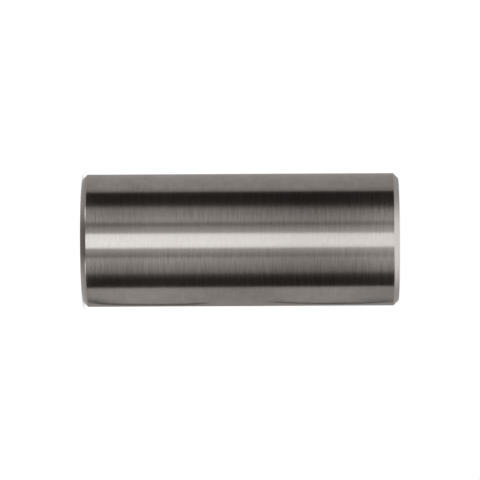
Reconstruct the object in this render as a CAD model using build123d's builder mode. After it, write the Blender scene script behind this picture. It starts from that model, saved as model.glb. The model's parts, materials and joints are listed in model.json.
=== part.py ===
"""Piston pin (wrist pin) for a small four-stroke engine, in millimetres.

One turned, hardened and ground steel tube. It stands on its lower end face: the origin is the
centre of that face and +Z runs along the pin. The ground land turns in the piston's bosses and
in the rod's small end, and the through bore only lightens the pin.
"""

import os

from build123d import *

# Driving dimensions
outside_diameter = 21.0
pin_length = 50.0
bore_diameter = 13.0
end_chamfer = 0.8  # 45 degrees, leads the pin into its bores
land_edge_radius = 0.15  # left by grinding, where the land meets each end chamfer
bore_mouth_chamfer = 0.5  # 45 degrees, deburrs both mouths of the bore

outside_radius = outside_diameter / 2
bore_radius = bore_diameter / 2
wall = outside_radius - bore_radius

with BuildPart() as piston_pin:
    # Half section of the wall, from the bore out to the land
    with BuildSketch(Plane.XZ) as wall_section:
        with Locations((bore_radius, 0)):
            Rectangle(wall, pin_length, align=(Align.MIN, Align.MIN))
        land_corners = wall_section.vertices().group_by(Axis.X)[-1]
        chamfer(land_corners, length=end_chamfer)
        mouth_corners = wall_section.vertices().group_by(Axis.X)[0]
        chamfer(mouth_corners, length=bore_mouth_chamfer)
        land_edges = wall_section.vertices().group_by(Axis.X)[-1]
        fillet(land_edges, radius=land_edge_radius)
    revolve(axis=Axis.Z)

os.makedirs("parts", exist_ok=True)
piston_pin.part.label = "piston_pin"
export_step(piston_pin.part, "parts/piston_pin.step")
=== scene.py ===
"""The looks of the piston pin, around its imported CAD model. Metres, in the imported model's frame.

The pin stands on its end, as it rests. The camera lies on its side, so the picture shows the pin lying.
"""

import json
import math

import bpy
from mathutils import Matrix, Vector


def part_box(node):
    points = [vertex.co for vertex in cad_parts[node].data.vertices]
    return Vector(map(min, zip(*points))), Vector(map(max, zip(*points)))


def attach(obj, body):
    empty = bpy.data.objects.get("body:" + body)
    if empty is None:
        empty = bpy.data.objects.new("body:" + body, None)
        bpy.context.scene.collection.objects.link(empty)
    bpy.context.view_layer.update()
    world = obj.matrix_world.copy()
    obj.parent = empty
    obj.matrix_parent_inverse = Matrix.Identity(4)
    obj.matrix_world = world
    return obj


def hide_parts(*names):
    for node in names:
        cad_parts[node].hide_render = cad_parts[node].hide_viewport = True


MM = 0.001
SAME_HEIGHT = 1e-6

# ---------------------------------------------------------------- sizes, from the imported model

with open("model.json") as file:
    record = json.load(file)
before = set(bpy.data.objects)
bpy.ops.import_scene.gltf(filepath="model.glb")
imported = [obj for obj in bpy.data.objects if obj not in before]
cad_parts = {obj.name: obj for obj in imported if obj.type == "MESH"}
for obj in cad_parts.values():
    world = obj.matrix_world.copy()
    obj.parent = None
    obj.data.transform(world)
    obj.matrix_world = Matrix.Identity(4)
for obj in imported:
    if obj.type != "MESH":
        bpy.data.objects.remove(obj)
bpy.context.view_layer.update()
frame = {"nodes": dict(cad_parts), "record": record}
mounts = {mount["name"]: mount["dims"] for mount in frame["record"]["mounts"]}


def radii_at(node, height):
    """The radii of a CAD node's vertices at this height."""
    vertices = frame["nodes"][node].data.vertices
    return [v.co.xy.length for v in vertices if abs(v.co.z - height) < SAME_HEIGHT]


PIN_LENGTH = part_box("piston_pin")[1].z
LAND_RADIUS = mounts["ground_land"]["r_mm"] * MM
BORE_RADIUS = mounts["through_bore"]["r_mm"] * MM
FACE_RADIUS = max(radii_at("piston_pin", PIN_LENGTH))
END_CHAMFER = LAND_RADIUS - FACE_RADIUS
MOUTH_CHAMFER = (PIN_LENGTH - mounts["through_bore"]["length_mm"] * MM) / 2
LAND_SETBACK = (PIN_LENGTH - mounts["ground_land"]["length_mm"] * MM) / 2 - END_CHAMFER
LAND_EDGE_RADIUS = LAND_SETBACK / math.tan(math.radians(22.5))  # the land turns by 45 degrees there
WORN_EDGE_RADIUS = 2 * LAND_EDGE_RADIUS  # handling has rounded it a little more
EDGE_BREAK = 0.07 * MM  # the other edges are barely broken


# ---------------------------------------------------------------- the pin's mesh

SEGMENTS = 288  # around the pin
ROUND_STEPS = 6  # along each rounded edge

# The wall's section, counter-clockwise: each corner's radius, height and edge radius, and the finish of the
# surface that follows it
SECTION = [
    (FACE_RADIUS, 0.0, EDGE_BREAK, "chamfer"),
    (LAND_RADIUS, END_CHAMFER, WORN_EDGE_RADIUS, "land"),
    (LAND_RADIUS, PIN_LENGTH - END_CHAMFER, WORN_EDGE_RADIUS, "chamfer"),
    (FACE_RADIUS, PIN_LENGTH, EDGE_BREAK, "face"),
    (BORE_RADIUS + MOUTH_CHAMFER, PIN_LENGTH, EDGE_BREAK, "mouth"),
    (BORE_RADIUS, PIN_LENGTH - MOUTH_CHAMFER, EDGE_BREAK, "bore"),
    (BORE_RADIUS, MOUTH_CHAMFER, EDGE_BREAK, "mouth"),
    (BORE_RADIUS + MOUTH_CHAMFER, 0.0, EDGE_BREAK, "face"),
]
CHAMFERS = ("chamfer", "mouth")  # each rounded edge takes the finish of the chamfer beside it
FINISHES = ("land", "chamfer", "face", "bore", "mouth")

# Where the baked picture of the finishes holds each surface: two unrolled strips, from left to right, and
# two round faces
WALL_STRIP = (0.0, 0.5)
BORE_STRIP = (0.51, 0.75)
FACE_PLACES = {True: (0.88, 0.12), False: (0.88, 0.38)}  # centres, of the top face and the foot
FACE_SIZE = 0.12  # radius


def rounded_section():
    """The section's points in order: (radius, height), outward normal, and finish up to the next point."""
    points = []
    for i, (radius, height, edge, finish) in enumerate(SECTION):
        corner = Vector((radius, height))
        before = Vector(SECTION[i - 1][:2])
        after = Vector(SECTION[(i + 1) % len(SECTION)][:2])
        back, ahead = (before - corner).normalized(), (after - corner).normalized()
        half = back.angle(ahead) / 2
        centre = corner + (back + ahead).normalized() * edge / math.sin(half)
        first = corner + back * edge / math.tan(half) - centre
        turn = math.pi - 2 * half
        finish_before = SECTION[i - 1][3]
        edge_finish = finish if finish in CHAMFERS else finish_before
        for step in range(ROUND_STEPS + 1):
            spoke = Matrix.Rotation(turn * step / ROUND_STEPS, 2) @ first
            next_finish = edge_finish if step < ROUND_STEPS else finish
            points.append((centre + spoke, spoke.normalized(), next_finish))
    return points


def strip_heights(section, finishes):
    """How far up its strip of the baked picture each section point of these finishes lies, from 0 to 1."""
    ahead = section[1:] + section[:1]
    steps = [(q[0] - p[0]).length if p[2] in finishes else 0.0 for p, q in zip(section, ahead)]
    heights = [sum(steps[:i]) / sum(steps) for i in range(len(section))]
    return heights + [1.0]


def lay_out(mesh, section, faces):
    """The map that the finishes are baked with."""
    rings = len(section)
    wall = strip_heights(section, ("chamfer", "land"))
    bore = strip_heights(section, ("mouth", "bore"))
    places = []
    for index, face in enumerate(faces):
        turn, ring = divmod(index, rings)
        finish = section[ring][2]
        if finish == "face":
            u, v = FACE_PLACES[section[ring][0].y > PIN_LENGTH / 2]
            scale = FACE_SIZE / FACE_RADIUS
            places += [(u + mesh.vertices[i].co.x * scale, v + mesh.vertices[i].co.y * scale) for i in face]
            continue
        (left, right), heights = (BORE_STRIP, bore) if finish in ("mouth", "bore") else (WALL_STRIP, wall)
        near, far = (left + (right - left) * (turn + k) / SEGMENTS for k in (0, 1))
        low, high = heights[ring], heights[ring + 1]
        places += [(near, low), (far, low), (far, high), (near, high)]
    layer = mesh.uv_layers.new(name="OFBake")
    for item, place in zip(layer.data, places):
        item.uv = place


def pin_mesh():
    """The rounded section turned about the pin's axis, with exact normals and a material slot a finish."""
    section = rounded_section()
    rings = len(section)
    turns = [2 * math.pi * s / SEGMENTS for s in range(SEGMENTS)]
    around = [(math.cos(a), math.sin(a)) for a in turns]
    vertices = [(p.x * c, p.x * s, p.y) for c, s in around for p, _, _ in section]
    normals = [(n.x * c, n.x * s, n.y) for c, s in around for _, n, _ in section]
    faces = []
    for s in range(SEGMENTS):
        here, there = s * rings, (s + 1) % SEGMENTS * rings
        for r in range(rings):
            up = (r + 1) % rings
            faces.append((here + r, there + r, there + up, here + up))
    mesh = bpy.data.meshes.new("turned_pin")
    mesh.from_pydata(vertices, [], faces)
    for index, polygon in enumerate(mesh.polygons):
        polygon.material_index = FINISHES.index(section[index % rings][2])
        polygon.use_smooth = True
    lay_out(mesh, section, faces)
    mesh.normals_split_custom_set_from_vertices(normals)
    return mesh


# ---------------------------------------------------------------- steel

STEEL = (0.57, 0.538, 0.514)
DULL_STEEL = (0.4, 0.38, 0.36)
ACROSS_MARKS = 0.25  # a quarter turn: highlights stretch across the marks, which run around the pin


class Steel:
    """A material of bare steel, with short calls for the nodes behind its colour, roughness and bump."""

    def __init__(self, name, anisotropy):
        self.material = bpy.data.materials.new(name)
        self.material.use_nodes = True
        self.nodes = self.material.node_tree.nodes
        self.links = self.material.node_tree.links
        self.shader = self.nodes["Principled BSDF"]
        self.shader.inputs["Metallic"].default_value = 1.0
        self.shader.inputs["Anisotropic"].default_value = anisotropy
        self.place = self.nodes.new("ShaderNodeTexCoord").outputs["Object"]
        self.shader.inputs["Anisotropic Rotation"].default_value = ACROSS_MARKS
        around = self.nodes.new("ShaderNodeTangent")
        around.direction_type = "RADIAL"
        around.axis = "Z"
        self.links.new(around.outputs["Tangent"], self.shader.inputs["Tangent"])

    def noise(self, scale, detail=2.0, place=None):
        """Noise of about 0.5, whose features along X, Y and Z measure 1 / scale, in metres."""
        mapping = self.nodes.new("ShaderNodeMapping")
        mapping.inputs["Scale"].default_value = scale
        self.links.new(place or self.place, mapping.inputs["Vector"])
        texture = self.nodes.new("ShaderNodeTexNoise")
        texture.inputs["Scale"].default_value = 1.0
        texture.inputs["Detail"].default_value = detail
        self.links.new(mapping.outputs["Vector"], texture.inputs["Vector"])
        return texture.outputs["Fac"]

    def ring_place(self):
        """Coordinates for marks on a flat end: radius first, then X and Y."""
        length = self.nodes.new("ShaderNodeVectorMath")
        length.operation = "LENGTH"
        flat = self.nodes.new("ShaderNodeVectorMath")
        flat.operation = "MULTIPLY"
        flat.inputs[1].default_value = (1, 1, 0)
        self.links.new(self.place, flat.inputs[0])
        self.links.new(flat.outputs["Vector"], length.inputs[0])
        split = self.nodes.new("ShaderNodeSeparateXYZ")
        self.links.new(self.place, split.inputs[0])
        join = self.nodes.new("ShaderNodeCombineXYZ")
        self.links.new(length.outputs["Value"], join.inputs["X"])
        self.links.new(split.outputs["X"], join.inputs["Y"])
        self.links.new(split.outputs["Y"], join.inputs["Z"])
        return join.outputs["Vector"]

    def between(self, value, low, high, at_low=0.3, at_high=0.7):
        """low where value is at_low and high where it is at_high, with a straight run between.

        Nearly all of a noise lies from 0.3 to 0.7.
        """
        run = self.nodes.new("ShaderNodeMapRange")
        run.inputs["From Min"].default_value = at_low
        run.inputs["From Max"].default_value = at_high
        run.inputs["To Min"].default_value = low
        run.inputs["To Max"].default_value = high
        self.links.new(value, run.inputs["Value"])
        return run.outputs["Result"]

    def axes(self):
        """X, Y and Z of each place, in metres."""
        split = self.nodes.new("ShaderNodeSeparateXYZ")
        self.links.new(self.place, split.inputs[0])
        return split.outputs["X"], split.outputs["Y"], split.outputs["Z"]

    def stops(self, value, points):
        """A line through points of (value, result), in order, with the value from 0 to 1."""
        node = self.nodes.new("ShaderNodeValToRGB")
        elements = node.color_ramp.elements
        while len(elements) < len(points):
            elements.new(0.5)
        for element, (at, result) in zip(elements, points):
            element.position = at
            element.color = (result, result, result, 1)
        self.links.new(value, node.inputs["Fac"])
        return node.outputs["Color"]

    def fade(self, shade, strength):
        """The shade, drawn towards 1 where strength is below 1."""
        change = self.combine("SUBTRACT", shade, 1)
        return self.combine("ADD", self.combine("MULTIPLY", change, strength), 1)

    def combine(self, operation, first, second):
        """A math node on two sockets or numbers."""
        node = self.nodes.new("ShaderNodeMath")
        node.operation = operation
        for value, socket in zip((first, second), node.inputs):
            if isinstance(value, (int, float)):
                socket.default_value = value
            else:
                self.links.new(value, socket)
        return node.outputs["Value"]

    def colour(self, tint, *shades):
        """tint, multiplied by each shade."""
        node = self.nodes.new("ShaderNodeVectorMath")
        node.operation = "SCALE"
        node.inputs[0].default_value = tint
        product = shades[0]
        for shade in shades[1:]:
            product = self.combine("MULTIPLY", product, shade)
        self.links.new(product, node.inputs["Scale"])
        self.links.new(node.outputs["Vector"], self.shader.inputs["Base Color"])

    def roughness(self, value):
        """Roughness from a socket."""
        self.links.new(value, self.shader.inputs["Roughness"])

    def bump(self, height, distance):
        """Relief of this height, from 0 to 1, times distance in metres."""
        node = self.nodes.new("ShaderNodeBump")
        node.inputs["Distance"].default_value = distance
        self.links.new(height, node.inputs["Height"])
        self.links.new(node.outputs["Normal"], self.shader.inputs["Normal"])


# How strongly the land's fine lines and soft clouds show, from its front and back (0) to its two sides (1)
LINES_ACROSS = [(0.0, 0.28), (0.17, 0.36), (0.28, 1.0), (0.58, 1.0), (0.7, 0.4), (1.0, 0.2)]
CLOUDS_ACROSS = [(0.0, 0.15), (0.5, 0.2), (0.72, 0.4), (0.8, 1.0), (1.0, 1.0)]

# Painted light and shade, which follow how bright the land's reflections are along it. Each pair below says
# how bright it is from the pin's foot (0) to its top (1), and how much of that shows across the pin.
# The front and back, counted across from there (0) to the two sides (1):
PAINTED_SHADE_ALONG = [
    (0.0, 1.02),
    (0.1, 0.96),
    (0.16, 1.0),
    (0.25, 1.11),
    (0.36, 1.05),
    (0.5, 0.99),
    (0.62, 0.91),
    (0.74, 0.86),
    (0.86, 0.95),
    (0.93, 1.13),
    (1.0, 1.17),
]
PAINTED_SHADE_ACROSS = [(0.0, 0.0), (0.1, 0.1), (0.2, 0.8), (0.3, 1.0), (0.62, 1.0), (0.76, 0.0), (1.0, 0.0)]
# The side towards -X, counted from that side (0) to the other (1):
MINUS_X_PAINTED_SHADE_ALONG = [
    (0.0, 0.93),
    (0.05, 0.98),
    (0.09, 1.06),
    (0.16, 0.97),
    (0.21, 0.99),
    (0.27, 1.03),
    (0.35, 1.0),
    (0.42, 0.96),
    (0.49, 0.985),
    (0.56, 0.965),
    (0.63, 0.95),
    (0.7, 1.0),
    (0.78, 0.97),
    (0.86, 0.95),
    (0.92, 0.93),
    (1.0, 0.88),
]
MINUS_X_PAINTED_SHADE_ACROSS = [(0.0, 1.0), (0.18, 1.0), (0.23, 0.0), (1.0, 0.0)]
# The side towards +X, counted from the other side (0) to this one (1):
PLUS_X_PAINTED_SHADE_ALONG = [
    (0.0, 0.92),
    (0.04, 1.02),
    (0.09, 1.07),
    (0.14, 1.13),
    (0.21, 1.14),
    (0.26, 1.11),
    (0.32, 1.03),
    (0.4, 0.965),
    (0.5, 0.895),
    (0.54, 0.89),
    (0.6, 0.945),
    (0.68, 1.05),
    (0.77, 1.08),
    (0.84, 1.04),
    (0.9, 0.95),
    (1.0, 0.9),
]
PLUS_X_PAINTED_SHADE_ACROSS = [(0.0, 0.0), (0.81, 0.0), (0.87, 1.0), (1.0, 1.0)]
# Painted shade on the highlight in the middle of the front and back, counted from there (0) to the sides
# (1):
CREST_PAINTED_SHADE_ALONG = [(0.0, 1.0), (0.58, 1.0), (0.7, 0.96), (0.84, 0.965), (0.93, 1.0), (1.0, 1.0)]
CREST_PAINTED_SHADE_ACROSS = [(0.0, 1.0), (0.1, 1.0), (0.17, 0.0), (1.0, 0.0)]


def land_finish():
    """Centreless ground: fine short lines around the pin, on bright steel that is a little uneven, with
    painted light and shade along it.
    """
    steel = Steel("ground_land", anisotropy=0.9)
    x, _, z = steel.axes()
    across = steel.combine("DIVIDE", steel.combine("ABSOLUTE", x, 0), LAND_RADIUS)
    over = steel.between(x, 0.0, 1.0, -LAND_RADIUS, LAND_RADIUS)
    height = steel.combine("DIVIDE", z, PIN_LENGTH)
    lines = steel.noise((290, 290, 4300), detail=3.0)
    clouds = steel.noise((500, 500, 520), detail=3.0)
    patches = steel.noise((60, 60, 90), detail=2.0)
    grain = steel.noise((2800, 2800, 3200), detail=1.0)
    steel.colour(
        STEEL,
        steel.fade(steel.between(lines, 0.895, 1.105), steel.stops(across, LINES_ACROSS)),
        steel.fade(steel.between(clouds, 0.93, 1.07), steel.stops(across, CLOUDS_ACROSS)),
        # Painted light and shade along the pin, lighter and darker where its reflections are
        steel.fade(steel.stops(height, PAINTED_SHADE_ALONG), steel.stops(across, PAINTED_SHADE_ACROSS)),
        steel.fade(steel.stops(height, MINUS_X_PAINTED_SHADE_ALONG), steel.stops(over, MINUS_X_PAINTED_SHADE_ACROSS)),
        steel.fade(steel.stops(height, PLUS_X_PAINTED_SHADE_ALONG), steel.stops(over, PLUS_X_PAINTED_SHADE_ACROSS)),
        # Painted shade: a dimmer stretch of the highlight down the middle of the front and back
        steel.fade(steel.stops(height, CREST_PAINTED_SHADE_ALONG), steel.stops(across, CREST_PAINTED_SHADE_ACROSS)),
        steel.between(patches, 0.975, 1.025),
        steel.between(grain, 0.98, 1.02),
    )
    steel.roughness(steel.between(lines, 0.19, 0.215))
    steel.bump(lines, 0.01 * MM)
    return steel.material


def chamfer_finish(name):
    """Turned: coarser lines around the pin."""
    steel = Steel(name, anisotropy=0.6)
    lines = steel.noise((150, 150, 9000))
    steel.colour(STEEL, steel.between(lines, 0.95, 1.03))
    steel.roughness(steel.between(lines, 0.27, 0.32))
    steel.bump(lines, 0.0008 * MM)
    return steel.material


def face_finish():
    """Faced in a lathe and ground: rings about the axis."""
    steel = Steel("turned_face", anisotropy=0.7)
    rings = steel.ring_place()
    lines = steel.noise((8000, 60, 60), detail=3.0, place=rings)
    steel.colour(STEEL, steel.between(lines, 0.95, 1.03))
    steel.roughness(steel.between(lines, 0.25, 0.31))
    steel.bump(lines, 0.0012 * MM)
    return steel.material


def bore_finish():
    """Drilled and reamed, left duller and darker than the outside."""
    steel = Steel("reamed_bore", anisotropy=0.5)
    lines = steel.noise((140, 140, 4000), detail=3.0)
    patches = steel.noise((300, 300, 200), detail=4.0)
    steel.colour(DULL_STEEL, steel.between(lines, 0.9, 1.08), steel.between(patches, 0.9, 1.08))
    steel.roughness(steel.between(lines, 0.36, 0.44))
    steel.bump(lines, 0.002 * MM)
    return steel.material


def make_pin():
    """The pin, with its finishes in the order of FINISHES."""
    mesh = pin_mesh()
    for material in (
        land_finish(),
        chamfer_finish("turned_chamfer"),
        face_finish(),
        bore_finish(),
        chamfer_finish("deburred_mouth"),
    ):
        mesh.materials.append(material)
    pin = bpy.data.objects.new("turned_pin", mesh)
    bpy.context.scene.collection.objects.link(pin)
    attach(pin, "root")
    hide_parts("piston_pin")


# ---------------------------------------------------------------- studio

IMAGE_SIDE = 480  # pixels
PIN_RADIUS_SEEN = 66.2  # pixels, half the pin's width in the picture
SENSOR_WIDTH = 36.0  # millimetres
CAMERA_DISTANCE = 60 * LAND_RADIUS
CAMERA_RISE = 7.5 * MM  # above the middle of the pin
CAMERA_ROLL = math.radians(0.29)  # lifts the pin's top end, at the picture's right
AIM_DROP = 0.6  # pixels, from the middle of the pin to where the camera aims

TENT_RADIUS = 0.35
TENT_LIFT = 0.05 * MM  # keeps the tent's floor clear of the white one
TENT_STEPS = 360  # around
TENT_TILTS = (0, 1, 2, 4, 6, 8, 10, 13, 16, 20, 25, 30, 36, 42, 48, 54, 60, 65, 70, 75, 80, 85, 90)
CLOTH_WARMTH = (0.966, 1.0, 1.025)  # red, green and blue: dim cloth looks a little warmer than the lamps

# Radii on the tent's floor, in millimetres
UNDER_PIN = 9.6  # no light gets in up to here
FOOT_START, FOOT_END = 9.75, 10.75  # what the lower chamfer mirrors
GAP_START, GAP_END = 11.2, 12.0  # what shows in the gap just outside it
NEAR_FLOOR_END = 13.3
NEAR_FLOOR = (0, UNDER_PIN, FOOT_START, 10.3, FOOT_END, GAP_START, GAP_END, 12.6, NEAR_FLOOR_END)
FAR_FLOOR = (14, 15, 16, 17.5, 19, 21, 24, 28, 33, 40, 50, 65, 90, 140, 220)
FLOOR_RADII = NEAR_FLOOR + FAR_FLOOR

# What the tent's side shows the pin: bearing from the camera in degrees, how bright it is, and how much of
# that is lost for each degree up the side.
# Towards +X:
TOWARDS_PLUS_X = [
    (0, 1.27, 0.018),
    (4, 1.29, 0.018),
    (11.9, 1.24, 0.018),
    (13.6, 0.46, -0.006),
    (20, 0.37, -0.006),
    (25.5, 0.258, -0.03),
    (27.5, 0.224, -0.03),
    (31, 0.38, 0.015),
    (36, 0.37, 0.024),
    (45, 0.295, 0.024),
    (53, 0.222, 0.024),
    (57.2, 0.178, 0.024),
    (60, 0.082, 0.05),
    (62.8, 0.045, 0.09),
    (70, 0.014, 0.16),
    (87.3, 0.01, 0.16),
    (90.5, 0.33, 0.0),
    (98, 0.36, 0.0),
    (140, 0.345, 0.0),
    (152, 0.3, -0.02),
    (168, 0.28, -0.04),
    (174, 0.7, 0.0),
    (180, 0.9, 0.0),
]
# Towards -X:
TOWARDS_MINUS_X = [
    (0, 1.27, 0.018),
    (10.2, 1.2, 0.018),
    (12.0, 0.46, -0.005),
    (20, 0.37, -0.005),
    (25.8, 0.21, -0.01),
    (28.4, 0.138, -0.01),
    (32.2, 0.322, 0.02),
    (37, 0.345, 0.035),
    (45, 0.285, 0.035),
    (53, 0.228, 0.05),
    (55.7, 0.142, 0.05),
    (60.3, 0.026, 0.12),
    (70, 0.012, 0.18),
    (90.5, 0.008, 0.18),
    (94.2, 0.25, 0.0),
    (104, 0.345, 0.0),
    (130, 0.37, 0.0),
    (165, 0.37, 0.0),
    (174, 0.7, 0.0),
    (180, 0.9, 0.0),
]

# How bright the floor looks under the pin's lower chamfer, and in the gap just outside it, at each bearing
FOOT_PLUS_X = [
    (0, 0.19, 0.1),
    (13, 0.2, 0.1),
    (18, 0.29, 0.4),
    (23, 0.34, 1.5),
    (28, 0.39, 1.5),
    (36, 0.46, 0.5),
    (62, 0.52, 0.4),
]
FOOT_MINUS_X = [
    (0, 0.19, 0.1),
    (13, 0.2, 0.1),
    (20, 0.29, 0.7),
    (25, 0.33, 2.0),
    (29, 0.37, 2.0),
    (35, 0.41, 0.5),
    (62, 0.42, 0.4),
]
FOOT_SHARES = (1.1, 0.7)  # of that first brightness, from the inner to the outer end of the foot's stretch
UNDER_PIN_LIGHT = 0.1

# The edges of the dark cloths lean a little: between which two bearings, and by how many degrees
LEANS_PLUS_X = [(4, 20, 0.5), (45, 75, 1.9), (80, 102, 2.4)]
LEANS_MINUS_X = [(4, 20, 0.9), (45, 75, 4.6), (82, 104, 1.3)]
LEAN_RAMP = 7  # degrees of bearing, over which a lean sets in and ends
LEAN_TURN = 1.5  # how far a lean swings over, from the floor up to LEAN_TOP
LEAN_TOP = 9  # degrees up the side

MIDDLE_TILT = 5  # degrees up the side, where it is as bright as listed
HIGHEST_TILT = 20  # degrees up the side, where the change with tilt ends
LEAST_SHARE = 0.1  # of the brightness listed

BACK_BEARINGS = (105, 140)  # between these, the floor's light goes over from the front's to the back's
HALVINGS = 30  # in the search for the spot that mirrors a place on the floor

# The roof: a soft lamp at the top, and a lower one in front
ROOF_LIGHT = 0.44
ROOF_TILTS = (15, 42)  # between these, the side goes over into the roof
LAMP_LIGHT = 0.66
LAMP_START_PLUS_X, LAMP_START_MINUS_X = 42, 52  # degrees up the side
LAMP_RAMP = 28
FRONT_LAMP_LIGHT = 0.9
FRONT_LAMP_BEARINGS = (45, 75)  # where it fades out
FRONT_LAMP_TILTS = (27, 39, 60, 80)  # where it sets in, is full, starts to fade and ends


def ease(value, low, high):
    """0 at low, 1 at high, and smooth between."""
    t = min(max((value - low) / (high - low), 0.0), 1.0)
    return t * t * (3 - 2 * t)


def along(stops, at):
    """The values at a place along stops of (place, value, value)."""
    for low, high in zip(stops, stops[1:]):
        if at <= high[0]:
            t = (at - low[0]) / (high[0] - low[0])
            return [a + (b - a) * t for a, b in zip(low[1:], high[1:])]
    return stops[-1][1:]


def side_light(degrees, tilt):
    """How bright the tent's side is at a bearing, positive towards +X, and a tilt above the floor."""
    bearing = abs(degrees)
    for start, end, lean in LEANS_PLUS_X if degrees >= 0 else LEANS_MINUS_X:
        strength = ease(bearing, start, start + LEAN_RAMP) * ease(bearing, end, end - LEAN_RAMP)
        bearing -= lean * strength * (1 - LEAN_TURN * ease(tilt, 0, LEAN_TOP))
    brightness, fall = along(TOWARDS_PLUS_X if degrees >= 0 else TOWARDS_MINUS_X, bearing)
    return brightness * max(1 - fall * (min(tilt, HIGHEST_TILT) - MIDDLE_TILT), LEAST_SHARE)


def seen_bearing(degrees, radius):
    """Where the floor at this bearing and radius seems to lie, in the pin as seen from a bearing of 0."""
    place = Vector((math.sin(math.radians(degrees)), math.cos(math.radians(degrees)))) * radius
    low, high = sorted((degrees / 2, degrees))  # bearing of the spot on the pin that mirrors it
    for _ in range(HALVINGS):
        spot = math.radians((low + high) / 2)
        ray = place - Vector((math.sin(spot), math.cos(spot))) * LAND_RADIUS / MM
        over = math.remainder(math.atan2(ray.x, ray.y) - 2 * spot, 2 * math.pi)
        if over > 0:
            low = math.degrees(spot)
        else:
            high = math.degrees(spot)
    return min(max(low + high, -180), 180)


def far_floor_light(degrees, radius):
    """How bright the floor away from the pin looks: as the side that seems to stand above it."""
    front = side_light(seen_bearing(degrees, radius), 0)
    opposite = seen_bearing(math.copysign(180 - abs(degrees), degrees), radius)
    back = side_light(math.copysign(180 - abs(opposite), degrees), 0)
    return front + (back - front) * ease(abs(degrees), *BACK_BEARINGS)


def floor_light(degrees, radius):
    """How bright the floor looks: dark under the pin, shaded beside it, and then as the side above it."""
    if radius > NEAR_FLOOR_END:
        return far_floor_light(degrees, radius)
    foot, gap = along(FOOT_PLUS_X if degrees >= 0 else FOOT_MINUS_X, abs(degrees))
    stops = [
        (0, UNDER_PIN_LIGHT),
        (UNDER_PIN, UNDER_PIN_LIGHT),
        (FOOT_START, foot * FOOT_SHARES[0]),
        (FOOT_END, foot * FOOT_SHARES[1]),
        (GAP_START, gap),
        (GAP_END, gap),
        (NEAR_FLOOR_END, far_floor_light(degrees, NEAR_FLOOR_END)),
    ]
    return along(stops, radius)[0]


def roof_light(degrees, tilt):
    """How bright the tent is from its side up to the soft lamps at its top and in front."""
    start = LAMP_START_MINUS_X if degrees < 0 else LAMP_START_PLUS_X
    above = LAMP_LIGHT * ease(tilt, start, start + LAMP_RAMP)
    sets_in, full, fades, ends = FRONT_LAMP_TILTS
    ahead = 1 - ease(abs(degrees), *FRONT_LAMP_BEARINGS)
    in_front = ahead * ease(tilt, sets_in, full) * (1 - ease(tilt, fades, ends))
    lamp = ROOF_LIGHT + max(above, FRONT_LAMP_LIGHT * in_front)
    side = side_light(degrees, tilt)
    return side + (lamp - side) * ease(tilt, *ROOF_TILTS)


def show_in_reflections_only(thing):
    """Hides a thing from the camera and from plain light, and leaves it to reflections."""
    thing.visible_camera = False
    thing.visible_diffuse = False
    thing.visible_transmission = False
    thing.visible_volume_scatter = False
    thing.visible_shadow = False


def make_tent():
    """A light tent that only reflections see: its floor, side and roof, each as bright as it says above."""
    vertices, lights = [], []
    for step in range(TENT_STEPS):
        degrees = 360 * step / TENT_STEPS - 180
        bearing = math.radians(degrees)
        out = Vector((math.sin(bearing), -math.cos(bearing), 0))
        for radius in FLOOR_RADII:
            vertices.append(out * radius * MM + Vector((0, 0, TENT_LIFT)))
            lights.append(floor_light(degrees, radius))
        for tilt in TENT_TILTS:
            turn = math.radians(tilt)
            up = Vector((0, 0, TENT_RADIUS * math.sin(turn) + TENT_LIFT))
            vertices.append(out * TENT_RADIUS * math.cos(turn) + up)
            lights.append(roof_light(degrees, tilt))
    rows = len(FLOOR_RADII) + len(TENT_TILTS)
    faces = []
    for step in range(TENT_STEPS):
        here, there = step * rows, (step + 1) % TENT_STEPS * rows
        faces += [(here + r, here + r + 1, there + r + 1, there + r) for r in range(rows - 1)]
    mesh = bpy.data.meshes.new("tent")
    mesh.from_pydata(vertices, [], faces)
    light = mesh.color_attributes.new("light", "FLOAT_COLOR", "POINT")
    for value, item in zip(lights, light.data):
        item.color = [value**power for power in CLOTH_WARMTH] + [1]
    material = bpy.data.materials.new("tent_cloth")
    material.use_nodes = True
    nodes, links = material.node_tree.nodes, material.node_tree.links
    nodes.clear()
    attribute = nodes.new("ShaderNodeAttribute")
    attribute.attribute_name = "light"
    emission = nodes.new("ShaderNodeEmission")
    output = nodes.new("ShaderNodeOutputMaterial")
    links.new(attribute.outputs["Color"], emission.inputs["Color"])
    links.new(emission.outputs["Emission"], output.inputs["Surface"])
    mesh.materials.append(material)
    tent = bpy.data.objects.new("tent", mesh)
    bpy.context.scene.collection.objects.link(tent)
    show_in_reflections_only(tent)


# Two low dark rims behind the pin, which the camera sees only mirrored near its lower edge, as two thin
# arcs. For each place along them: how far up the pin in millimetres, how far across it, from 0 in the middle
# to 1 at its edge, how dark the rim is, and how dark the soft shade on its inner side
RIMS = [
    [
        (0.8, 0.9, 1.0, 0.85),
        (2.0, 0.938, 1.0, 0.65),
        (3.9, 0.954, 1.0, 0.3),
        (7.0, 0.964, 0.8, 0.12),
        (11.0, 0.967, 0.7, 0.15),
        (15.7, 0.966, 0.85, 0.1),
        (19.6, 0.95, 0.85, 0.1),
    ],
    [
        (30.0, 0.933, 0.75, 0.1),
        (31.3, 0.937, 1.0, 0.1),
        (32.9, 0.948, 0.75, 0.1),
        (34.4, 0.956, 0.75, 0.1),
        (37.6, 0.962, 0.85, 0.1),
        (40.7, 0.962, 0.9, 0.15),
        (43.8, 0.958, 0.8, 0.2),
        (46.0, 0.952, 0.65, 0.35),
        (49.2, 0.931, 0.65, 0.5),
    ],
]
RIM_AWAY = [13 * MM, 20 * MM]  # from the pin: the one near its foot is closer, to stay above the floor
RIM_HALF_WIDTH = 0.019  # across the pin
RIM_SOFT_WIDTH = 0.09
RIM_OUTER_LIMIT = 0.9995  # just inside the pin's outline
RIM_STEPS = 40  # along
RIM_ROW = 4  # points across


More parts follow.
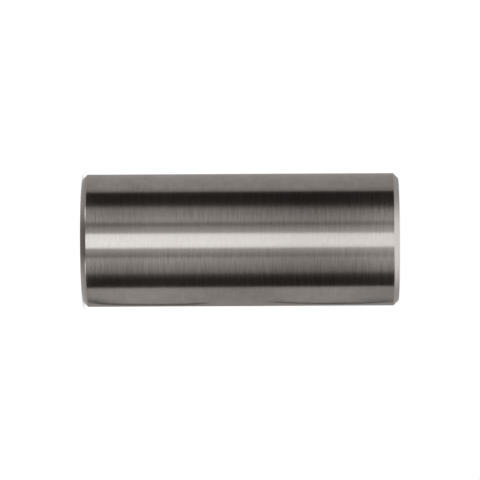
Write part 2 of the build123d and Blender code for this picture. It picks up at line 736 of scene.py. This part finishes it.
def mirrored(height, across, away):
    """The place that the camera sees mirrored at this spot on the pin, this far away from it."""
    turn = math.asin(across)
    normal = Vector((math.sin(turn), -math.cos(turn), 0))
    spot = normal * LAND_RADIUS + Vector((0, 0, height))
    ray = (spot - Vector((0, -CAMERA_DISTANCE, PIN_LENGTH / 2 + CAMERA_RISE))).normalized()
    return spot + ray.reflect(normal) * away


def make_rim(points, away):
    """A thin dark ribbon with soft edges that only reflections see."""
    vertices, shades = [], []
    first, last = points[0][0], points[-1][0]
    for step in range(RIM_STEPS + 1):
        height = first + (last - first) * step / RIM_STEPS
        middle, dark, soft = along(points, height)
        row = ((-RIM_SOFT_WIDTH, 0), (-RIM_HALF_WIDTH, soft), (0, dark), (RIM_HALF_WIDTH, 0))
        for aside, shade in row:
            across = min(middle + aside, RIM_OUTER_LIMIT)
            vertices.append(mirrored(height * MM, across, away))
            shades.append(shade)
    faces = []
    for step in range(RIM_STEPS):
        here, there = step * RIM_ROW, (step + 1) * RIM_ROW
        faces += [(here + k, here + k + 1, there + k + 1, there + k) for k in range(RIM_ROW - 1)]
    mesh = bpy.data.meshes.new("rim")
    mesh.from_pydata(vertices, [], faces)
    attribute = mesh.color_attributes.new("shade", "FLOAT_COLOR", "POINT")
    for value, item in zip(shades, attribute.data):
        item.color = (value, value, value, 1)
    mesh.materials.append(rim_cloth())
    rim = bpy.data.objects.new("rim", mesh)
    bpy.context.scene.collection.objects.link(rim)
    show_in_reflections_only(rim)


def rim_cloth():
    """Black where its shade is 1, and clear where it is 0."""
    material = bpy.data.materials.new("rim_cloth")
    material.use_nodes = True
    nodes, links = material.node_tree.nodes, material.node_tree.links
    nodes.clear()
    attribute = nodes.new("ShaderNodeAttribute")
    attribute.attribute_name = "shade"
    clear = nodes.new("ShaderNodeBsdfTransparent")
    black = nodes.new("ShaderNodeEmission")
    black.inputs["Strength"].default_value = 0.0
    mix = nodes.new("ShaderNodeMixShader")
    links.new(attribute.outputs["Fac"], mix.inputs["Fac"])
    links.new(clear.outputs["BSDF"], mix.inputs[1])
    links.new(black.outputs["Emission"], mix.inputs[2])
    output = nodes.new("ShaderNodeOutputMaterial")
    links.new(mix.outputs["Shader"], output.inputs["Surface"])
    return material


def any_of(nodes, links, path, names):
    """A socket that is 1 for these kinds of ray."""
    total = path.outputs[names[0]]
    for name in names[1:]:
        either = nodes.new("ShaderNodeMath")
        either.operation = "MAXIMUM"
        links.new(total, either.inputs[0])
        links.new(path.outputs[name], either.inputs[1])
        total = either.outputs["Value"]
    return total


SEEN = ("Is Camera Ray", "Is Glossy Ray", "Is Transmission Ray")
WORLD_LIGHT = 0.7  # on everything
WORLD_SEEN = 1.0  # white
FLOOR_HALF_SIDE = 2.5
FLOOR_PAINT = 0.8
FLOOR_GLOW = 0.45  # with the light on its paint, this makes the floor look white
GLOW_FADE = 0.3 * MM  # the glow ends this far inside the edge of the pin's lower face, leaving painted shade under the pin
LAMP_SIZE = 0.4
LAMP_POWER = 1.6
LAMP_PLACE = (-0.03, -0.42, 0.58)


def make_world():
    """White where it is seen, and a plain even light on everything else."""
    world = bpy.data.worlds.new("studio")
    bpy.context.scene.world = world
    world.use_nodes = True
    nodes, links = world.node_tree.nodes, world.node_tree.links
    background = nodes["Background"]
    background.inputs["Color"].default_value = (1, 1, 1, 1)
    path = nodes.new("ShaderNodeLightPath")
    strength = nodes.new("ShaderNodeMix")
    strength.data_type = "FLOAT"
    strength.inputs["A"].default_value = WORLD_LIGHT
    strength.inputs["B"].default_value = WORLD_SEEN
    links.new(any_of(nodes, links, path, SEEN), strength.inputs["Factor"])
    links.new(strength.outputs["Result"], background.inputs["Strength"])


def make_floor():
    """A white floor, out to where it meets the white behind it, that keeps the pin's shadow, with painted
    shade under the pin.
    """
    half = FLOOR_HALF_SIDE
    mesh = bpy.data.meshes.new("floor")
    corners = [(-half, -half, 0), (half, -half, 0), (half, half, 0), (-half, half, 0)]
    mesh.from_pydata(corners, [], [(0, 1, 2, 3)])
    material = bpy.data.materials.new("white_floor")
    material.use_nodes = True
    nodes, links = material.node_tree.nodes, material.node_tree.links
    nodes.clear()
    paint = nodes.new("ShaderNodeBsdfDiffuse")
    paint.inputs["Color"].default_value = (FLOOR_PAINT, FLOOR_PAINT, FLOOR_PAINT, 1)
    glow = nodes.new("ShaderNodeEmission")
    path = nodes.new("ShaderNodeLightPath")
    place = nodes.new("ShaderNodeTexCoord")
    distance = nodes.new("ShaderNodeVectorMath")
    distance.operation = "LENGTH"
    links.new(place.outputs["Object"], distance.inputs[0])
    # The glow is taken away under the pin: painted shade there
    outside = nodes.new("ShaderNodeMapRange")
    outside.inputs["From Min"].default_value = FACE_RADIUS - GLOW_FADE
    outside.inputs["From Max"].default_value = FACE_RADIUS
    outside.inputs["To Max"].default_value = FLOOR_GLOW
    links.new(distance.outputs["Value"], outside.inputs["Value"])
    strength = nodes.new("ShaderNodeMath")
    strength.operation = "MULTIPLY"
    links.new(any_of(nodes, links, path, SEEN), strength.inputs[0])
    links.new(outside.outputs["Result"], strength.inputs[1])
    links.new(strength.outputs["Value"], glow.inputs["Strength"])
    both = nodes.new("ShaderNodeAddShader")
    links.new(paint.outputs["BSDF"], both.inputs[0])
    links.new(glow.outputs["Emission"], both.inputs[1])
    output = nodes.new("ShaderNodeOutputMaterial")
    links.new(both.outputs["Shader"], output.inputs["Surface"])
    mesh.materials.append(material)
    floor = bpy.data.objects.new("floor", mesh)
    bpy.context.scene.collection.objects.link(floor)


def make_lamp():
    """A large soft lamp, high in front, for a soft shadow on the floor behind the pin."""
    light = bpy.data.lights.new("soft_lamp", "AREA")
    light.shape = "DISK"
    light.size = LAMP_SIZE
    light.energy = LAMP_POWER
    lamp = bpy.data.objects.new("soft_lamp", light)
    lamp.location = LAMP_PLACE
    lamp.rotation_euler = (-lamp.location).to_track_quat("-Z", "Y").to_euler()
    lamp.visible_camera = False
    lamp.visible_glossy = False
    bpy.context.scene.collection.objects.link(lamp)


# ---------------------------------------------------------------- camera


def make_camera():
    """In front of the pin, lying on its side: the picture's right is up the pin, and its top is -X."""
    data = bpy.data.cameras.new("camera")
    data.sensor_width = SENSOR_WIDTH
    angle = math.asin(LAND_RADIUS / CAMERA_DISTANCE)
    data.lens = PIN_RADIUS_SEEN / math.tan(angle) * data.sensor_width / IMAGE_SIDE
    data.clip_start, data.clip_end = 0.05, 10.0
    camera = bpy.data.objects.new("camera", data)
    middle = Vector((0, 0, PIN_LENGTH / 2))
    camera.location = middle + Vector((0, -CAMERA_DISTANCE, CAMERA_RISE))
    pixel = LAND_RADIUS / PIN_RADIUS_SEEN
    aim = middle + Vector((0, 0, -AIM_DROP * pixel))
    back = (camera.location - aim).normalized()
    up = Vector((-math.cos(CAMERA_ROLL), 0, math.sin(CAMERA_ROLL)))
    right = up.cross(back).normalized()
    up = back.cross(right)
    camera.rotation_mode = "QUATERNION"
    camera.rotation_quaternion = Matrix((right, up, back)).transposed().to_quaternion()
    bpy.context.scene.collection.objects.link(camera)
    bpy.context.scene.camera = camera


# ---------------------------------------------------------------- all of it

make_pin()
make_tent()
for rim_points, away in zip(RIMS, RIM_AWAY):
    make_rim(rim_points, away)
make_world()
make_floor()
make_lamp()
make_camera()
bpy.context.scene.view_settings.view_transform = "Standard"
